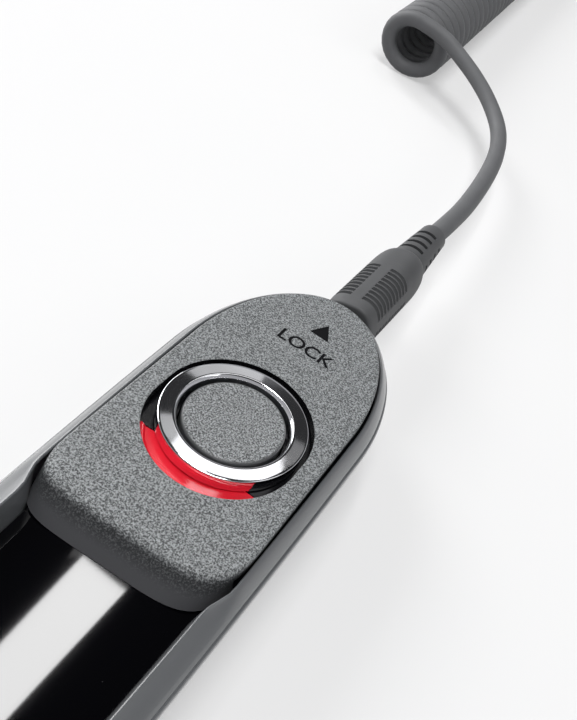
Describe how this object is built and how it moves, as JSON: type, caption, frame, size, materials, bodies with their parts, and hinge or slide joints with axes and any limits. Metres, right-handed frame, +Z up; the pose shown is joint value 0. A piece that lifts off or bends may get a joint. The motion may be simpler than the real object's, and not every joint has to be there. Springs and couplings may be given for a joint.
{
  "type": "wired shutter release",
  "caption": "Wired camera shutter release: handle with a two-stage button in a sliding lock ring, pull-out jack plug, curly cord and camera plug",
  "frame": {"origin": "middle of the handle's underside, on the surface that it rests on", "axes": "+Y along the handle towards the plug, +X to the right seen from above with the plug ahead, +Z up"},
  "size_m": [0.0682, 0.3709, 0.0161],
  "materials": {
    "shell_grey": "fine satin moulded plastic",
    "gloss_black": "polished piano black plastic",
    "cover_grain": "coarse spark-eroded grain",
    "button_grain": "fine spark-eroded grain with a smooth rim",
    "ring_chrome": "bright chrome plating",
    "marker_red": "glossy red plastic",
    "socket_black": "moulded black plastic",
    "cord_rubber": "satin moulded elastomer",
    "plug_gold": "gold plated",
    "contact_brass": "spring brass",
    "steel": "zinc plated",
    "board_green": "solder mask",
    "block_cream": "moulded insulator"
  },
  "bodies": {
    "handle": {"bottom_shell": "shell_grey", "top_shell": "shell_grey", "gloss_panel": "gloss_black", "head_cover": "cover_grain", "case_screws": "steel", "circuit_board": "board_green", "contact_block": "block_cream", "ground_leaf": "contact_brass", "focus_leaf": "contact_brass", "release_leaf": "contact_brass", "jack_housing": "socket_black", "jack_contacts": "contact_brass", "friction_spring": "steel"},
    "slider": {"slider_carriage": "socket_black", "lock_marker": "marker_red", "chrome_ring": "ring_chrome", "button_spring": "steel"},
    "button": {"release_button": "button_grain"},
    "cable": {"plug_sleeve": "plug_gold", "plug_ring": "plug_gold", "plug_tip": "plug_gold", "plug_insulators": "socket_black", "plug_grip": "cord_rubber", "strain_relief": "cord_rubber", "cord_lead": "cord_rubber", "cord_curl": "cord_rubber", "cord_tail": "cord_rubber", "camera_strain_relief": "cord_rubber", "camera_plug_grip": "cord_rubber", "camera_plug_sleeve": "plug_gold", "camera_plug_ring": "plug_gold", "camera_plug_tip": "plug_gold", "camera_plug_insulators": "socket_black"}
  },
  "joints": [
    {"name": "lock_slide", "type": "slide", "parent": "handle", "child": "slider", "axis": [0, 1, 0], "range_m": [-0.0022, 0]},
    {"name": "button_press", "type": "slide", "parent": "slider", "child": "button", "axis": [0, 0, -1], "range_m": [0, 0.0014], "stiffness_N_per_m": 900, "springref_m": -0.0006, "deforming": ["button_spring", "ground_leaf", "focus_leaf"]},
    {"name": "plug_pull", "type": "slide", "parent": "handle", "child": "cable", "axis": [0, 1, 0], "range_m": [0, 0.016]}
  ]
}
